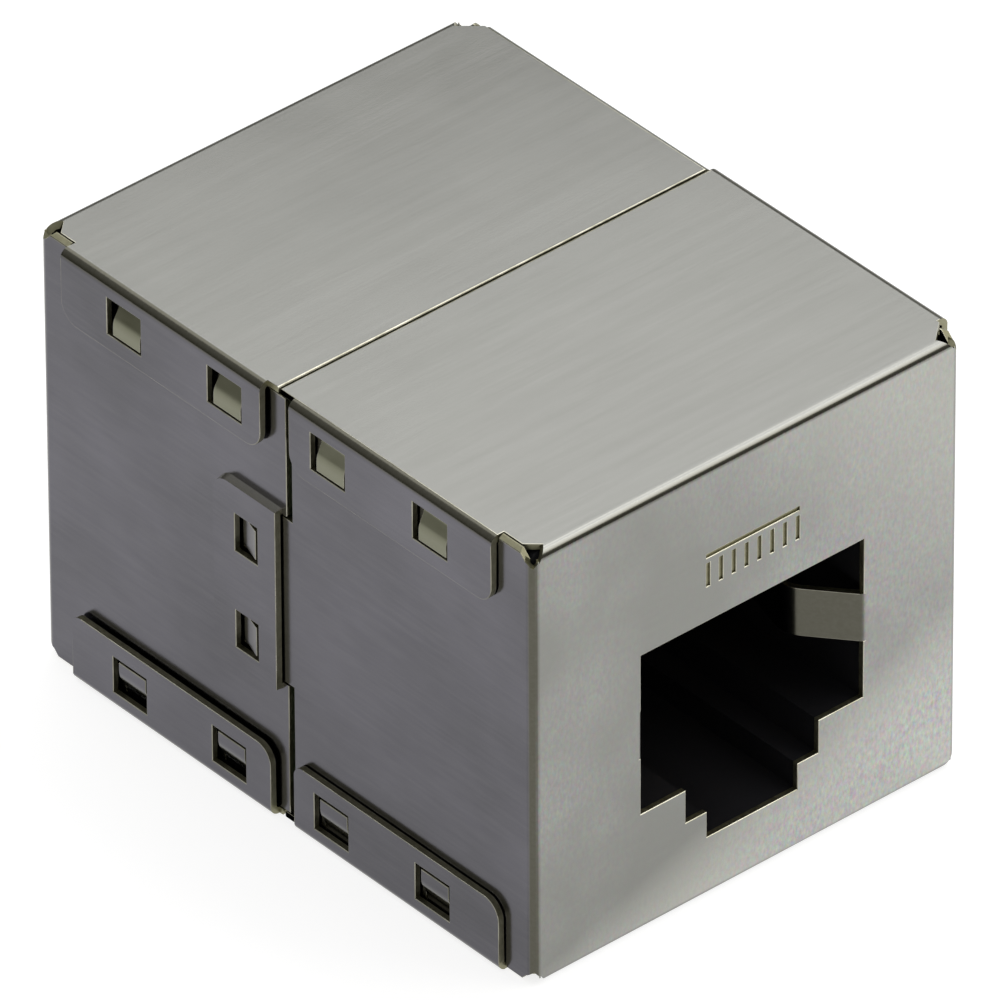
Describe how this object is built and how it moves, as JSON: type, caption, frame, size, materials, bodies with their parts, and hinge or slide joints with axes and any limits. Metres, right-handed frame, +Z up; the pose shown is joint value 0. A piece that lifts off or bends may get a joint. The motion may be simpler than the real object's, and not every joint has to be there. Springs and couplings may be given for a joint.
{
  "type": "rj45 inline coupler",
  "caption": "Shielded inline coupler: two folded metal shells snapped together over back-to-back modular jacks, with a stepped plug port in each end face.",
  "frame": {"origin": "middle of the bottom face, on the surface that the coupler rests on", "axes": "+Z up, Y along the plugs with the front port facing -Y, X across"},
  "size_m": [0.0237, 0.0302, 0.0213],
  "materials": {
    "plated_sheet": "satin plated sheet with fine rolling grain",
    "black_moulding": "black moulded plastic",
    "gold_wire": "thin gold plating",
    "board_laminate": "green glass laminate"
  },
  "bodies": {
    "root": {"front_shell": "plated_sheet", "front_jack_housing": "black_moulding", "front_contact_carrier": "black_moulding", "front_contact_1": "gold_wire", "front_contact_2": "gold_wire", "front_contact_3": "gold_wire", "front_contact_4": "gold_wire", "front_contact_5": "gold_wire", "front_contact_6": "gold_wire", "front_contact_7": "gold_wire", "front_contact_8": "gold_wire", "rear_shell": "plated_sheet", "rear_jack_housing": "black_moulding", "rear_contact_carrier": "black_moulding", "rear_contact_1": "gold_wire", "rear_contact_2": "gold_wire", "rear_contact_3": "gold_wire", "rear_contact_4": "gold_wire", "rear_contact_5": "gold_wire", "rear_contact_6": "gold_wire", "rear_contact_7": "gold_wire", "rear_contact_8": "gold_wire", "circuit_board": "board_laminate"}
  },
  "joints": []
}
